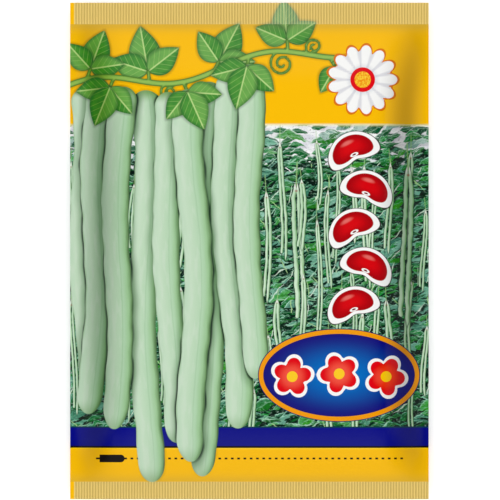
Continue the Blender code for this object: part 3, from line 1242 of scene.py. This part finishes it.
def lay_bare_field(picture, centre_x, centre_y, wide, high):
    """A rounded rectangle: the distance from a smaller rectangle, less the rounding."""
    out_x = (abs(picture.finish.x - centre_x) - (wide - FIELD_ROUND)).max(0.0)
    out_y = (abs(picture.finish.y - centre_y) - (high - FIELD_ROUND)).max(0.0)
    edge = picture.finish.length(out_x, out_y) - FIELD_ROUND
    picture.lay(edge.inside(0.8), ORANGE)
    picture.lay(edge.inside(), ink(252, 248, 226))


def back_print(finish, *bare_fields):
    """The hedge behind the ground's fields and any bare fields."""
    picture = Picture(finish)
    lay_fields(picture)
    for bare_field in bare_fields:
        lay_bare_field(picture, *bare_field)
    return picture.over(hedge(finish))


# %% [markdown]
# ## The film itself
#
# The ink lies under a thin satin laminate. In the crimped seals the print is greyed, with a painted
# highlight along the crests of the ribs and painted shade in their valleys. Beside the side folds, and
# close to both seals, the print carries a soft painted shade, in which its colours are a little richer.

# %% Laminate and crimp
RIPPLE_HEIGHT = 0.00012


def crimp(finish, colour):
    """Greys the print from the plain margin to the far side, with a painted highlight on the crests and
    painted shade in the valleys.
    """
    from_margin = finish.x + (HALF_WIDTH - RIB_MARGIN)
    wave = (from_margin + RIB_PITCH / 4).zigzag(RIB_PITCH / 2)
    # Painted highlight on the rib crests and painted shade in their valleys, in step with the ribs.
    grey = finish.mix(wave.step(0.12, 0.38), ink(146, 168, 136), ink(222, 224, 168))
    return finish.mix(from_margin.step(-0.1, 0.1) * 0.5, colour, grey)


def laminate(finish, colour):
    """Satin film over the print, very slightly rippled."""
    ripple = finish.noise(finish.place, 0.55, 3.0)
    normal = finish.wire("Bump", 0, Height=ripple, Distance=RIPPLE_HEIGHT, Strength=0.5)
    shine = {"Roughness": 0.3, "Specular IOR Level": 0.08}
    return finish.finished({"Base Color": colour, "Normal": normal, **shine})


front = Finish("printed film")
# The stored shade is painted shade: darker beside the side folds, with richer colours there, and greyer
# close to the seals.
beside, grey, _ = front.stored("shade")
rich = front.richer(front_print(front), beside * 0.5 + 1.0)
shaded = front.mix(beside, rich, BLACK)
printed_film = laminate(front, front.mix(grey, shaded, ink(129, 141, 91)))

front_crimp = Finish("crimped film")
crimped_film = laminate(front_crimp, crimp(front_crimp, front_print(front_crimp)))

back = Finish("back film")
back_print_film = laminate(back, back_print(back, *FIELDS))

back_crimp = Finish("crimped back film")
crimped_back = laminate(back_crimp, crimp(back_crimp, back_print(back_crimp)))
print(f"printed film: {len(printed_film.node_tree.nodes)} nodes")

# %% [markdown]
# ## Seed coat
#
# The seeds are dark and mottled, with a pale eye. Two noises, one for large blotches and one for fine
# flecks, are enough at this size.

# %% Mottled seed coat
def seed_finish():
    """Near-black to brown blotches, a few cream flecks, and a pale eye with a dark middle."""
    finish = Finish("seed coat")
    blotch = finish.noise(finish.place, 0.9, 3.0)
    colour = finish.mix(blotch.step(0.42, 0.58), ink(34, 24, 22), ink(96, 58, 38))
    fleck = finish.noise(finish.place, 2.6)
    colour = finish.mix(fleck.step(0.60, 0.68, 0.0, 0.8), colour, ink(196, 160, 118))
    eye = finish.wire("Attribute", "Fac", attribute_name="eye")
    colour = finish.mix(eye.step(1.0, 0.85), colour, ink(236, 226, 200))
    colour = finish.mix(eye.step(0.45, 0.3), colour, ink(90, 66, 50))
    return finish.finished({"Base Color": colour, "Roughness": 0.32})


seed_coat = seed_finish()
print(f"seed coat: {len(seed_coat.node_tree.nodes)} nodes")

# %% [markdown]
# ## Camera, light and floor
#
# The packet lies face up and is seen from straight above. A very long lens from far away keeps its sides
# and the printed stripes straight, although the film between its folds stands nearer to the camera.
# Four wide soft lights stand round it, low enough for the film to mirror none of them into the lens, and
# the floor glows a little, like a light table, so no shadow falls on it.

# %% Camera
IMAGE_SIDE = 500
PACKET_PIXELS = 358.5
PACKET_CENTRE = (249.4, 250.9)
LENS = 800.0
SENSOR = 36.0

millimetres_per_pixel = 2 * HALF_WIDTH / PACKET_PIXELS
camera_height = SEAL_LEVEL + IMAGE_SIDE * millimetres_per_pixel * LENS / SENSOR
camera_data = bpy.data.cameras.new("camera")
camera_data.lens = LENS
camera_data.sensor_width = SENSOR
camera_data.clip_end = 10.0
camera = in_scene("camera", camera_data)
camera.location = (
    (IMAGE_SIDE / 2 - PACKET_CENTRE[0]) * millimetres_per_pixel * MM,
    (PACKET_CENTRE[1] - IMAGE_SIDE / 2) * millimetres_per_pixel * MM,
    camera_height * MM,
)
bpy.context.scene.camera = camera
bpy.context.scene.view_settings.view_transform = "Standard"
print(f"camera {camera_height:.0f} mm above the floor, {millimetres_per_pixel:.3f} mm to a pixel")

# %% Lights and floor
LIGHT_SIDE = 1.5
LIGHT_REACH = 1.25
LIGHT_LEVEL = 1.1


def soft_light(name, x, y, power):
    """A square area light in metres, aimed at the packet: tipped back, then turned to face it."""
    lamp = bpy.data.lights.new(name, "AREA")
    lamp.size = LIGHT_SIDE
    lamp.energy = power
    made = in_scene(name, lamp)
    made.location = (x, y, LIGHT_LEVEL)
    tip = math.atan2(math.hypot(x, y), LIGHT_LEVEL)
    made.rotation_euler = (tip, 0.0, math.atan2(-y, -x) - math.pi / 2)


for name, x, y, power in (
    ("left_light", -LIGHT_REACH, 0.1, 13.1),
    ("right_light", LIGHT_REACH, 0.1, 11.4),
    ("far_light", 0.0, LIGHT_REACH, 12.0),
    ("near_light", 0.0, -LIGHT_REACH, 12.0),
):
    soft_light(name, x, y, power)


def set_values(sockets, values):
    """Stores plain values in a node's sockets, each by the socket's name."""
    for name, value in values.items():
        sockets[name].default_value = value


world = bpy.data.worlds.new("world")
bpy.context.scene.world = world
world.use_nodes = True
set_values(world.node_tree.nodes["Background"].inputs, {"Color": (1, 1, 1, 1), "Strength": 0.25})

FLOOR_REACH = 4000.0
floor_corners = FLOOR_REACH * np.array([(-1, -1, 0), (1, -1, 0), (1, 1, 0), (-1, 1, 0)])
floor = mesh_object("floor", floor_corners, np.array([(0, 1, 2, 3)]), smooth=False)
floor_paint = bpy.data.materials.new("floor paint")
floor_paint.use_nodes = True
set_values(floor_paint.node_tree.nodes["Principled BSDF"].inputs, {
    "Base Color": (0.85, 0.85, 0.85, 1),
    "Roughness": 0.8,
    "Emission Color": (1, 1, 1, 1),
    "Emission Strength": 0.3,
})
floor.data.materials.append(floor_paint)
print(f"four lights {LIGHT_LEVEL} m above a floor {2 * FLOOR_REACH * MM:.0f} m wide")

# %% [markdown]
# ## Finishes and the frame
#
# Every piece takes the place of the CAD nodes that it stands for and rides on the packet's one body.

# %% Put the finishes on
def finish_piece(piece, node, slot, *finishes):
    """Gives a piece its finishes and its place in the frame."""
    for finish in finishes:
        piece.data.materials.append(finish)
    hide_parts(node)
    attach(piece, "root")


finish_piece(front_film, "front_panel", "printed_film", printed_film)
finish_piece(top_band, "top_seal", "crimped_film", crimped_film, crimped_back)
finish_piece(bottom_band, "bottom_seal", "crimped_film", crimped_film, crimped_back)
finish_piece(back_left, "back_panel_left", "back_film", back_print_film)
finish_piece(back_right, "back_panel_right", "back_film", back_print_film)
finish_piece(fin_strip, "back_seam", "back_film", back_print_film)
for node, seed in seeds.items():
    finish_piece(seed, node, "seed_coat", seed_coat)

for band, cells in ((top_band, top_x), (bottom_band, bottom_x)):
    one_side = (cells.shape[0] - 1) * (cells.shape[1] - 1)
    chosen = np.zeros(len(band.data.polygons), np.int32)
    chosen[one_side:2 * one_side] = 1
    band.data.polygons.foreach_set("material_index", chosen)
